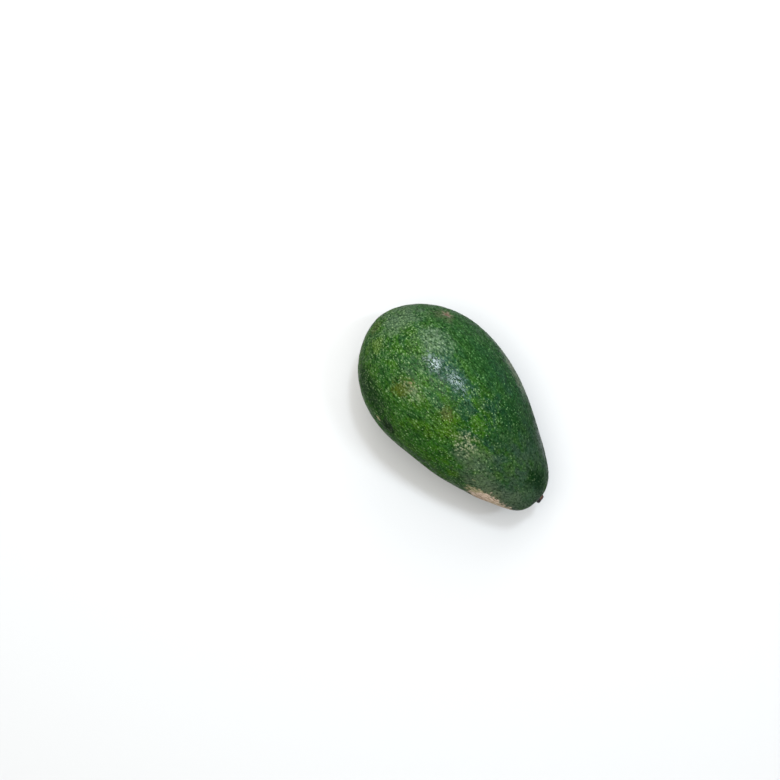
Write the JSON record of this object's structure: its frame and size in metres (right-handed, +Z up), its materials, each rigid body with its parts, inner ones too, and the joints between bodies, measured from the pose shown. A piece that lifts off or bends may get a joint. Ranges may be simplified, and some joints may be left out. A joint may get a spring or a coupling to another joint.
{
  "type": "avocado",
  "caption": "Whole green avocado lying on its side, broad at the blossom end and narrowing to a short dry stub of stalk.",
  "frame": {"origin": "on the surface that the fruit lies on, under the middle of its footprint box", "axes": "+X along the fruit from the blossom end to the stem end, +Z up"},
  "size_m": [0.124, 0.072, 0.0703],
  "materials": {
    "skin": "dark green pebbled avocado skin with a faint wax sheen, pale specks and tan corky scuffs",
    "stalk": "dried reddish-brown stalk with a nearly black broken tip"
  },
  "bodies": {
    "root": {"fruit": "skin", "stem_stub": "stalk"}
  },
  "joints": []
}
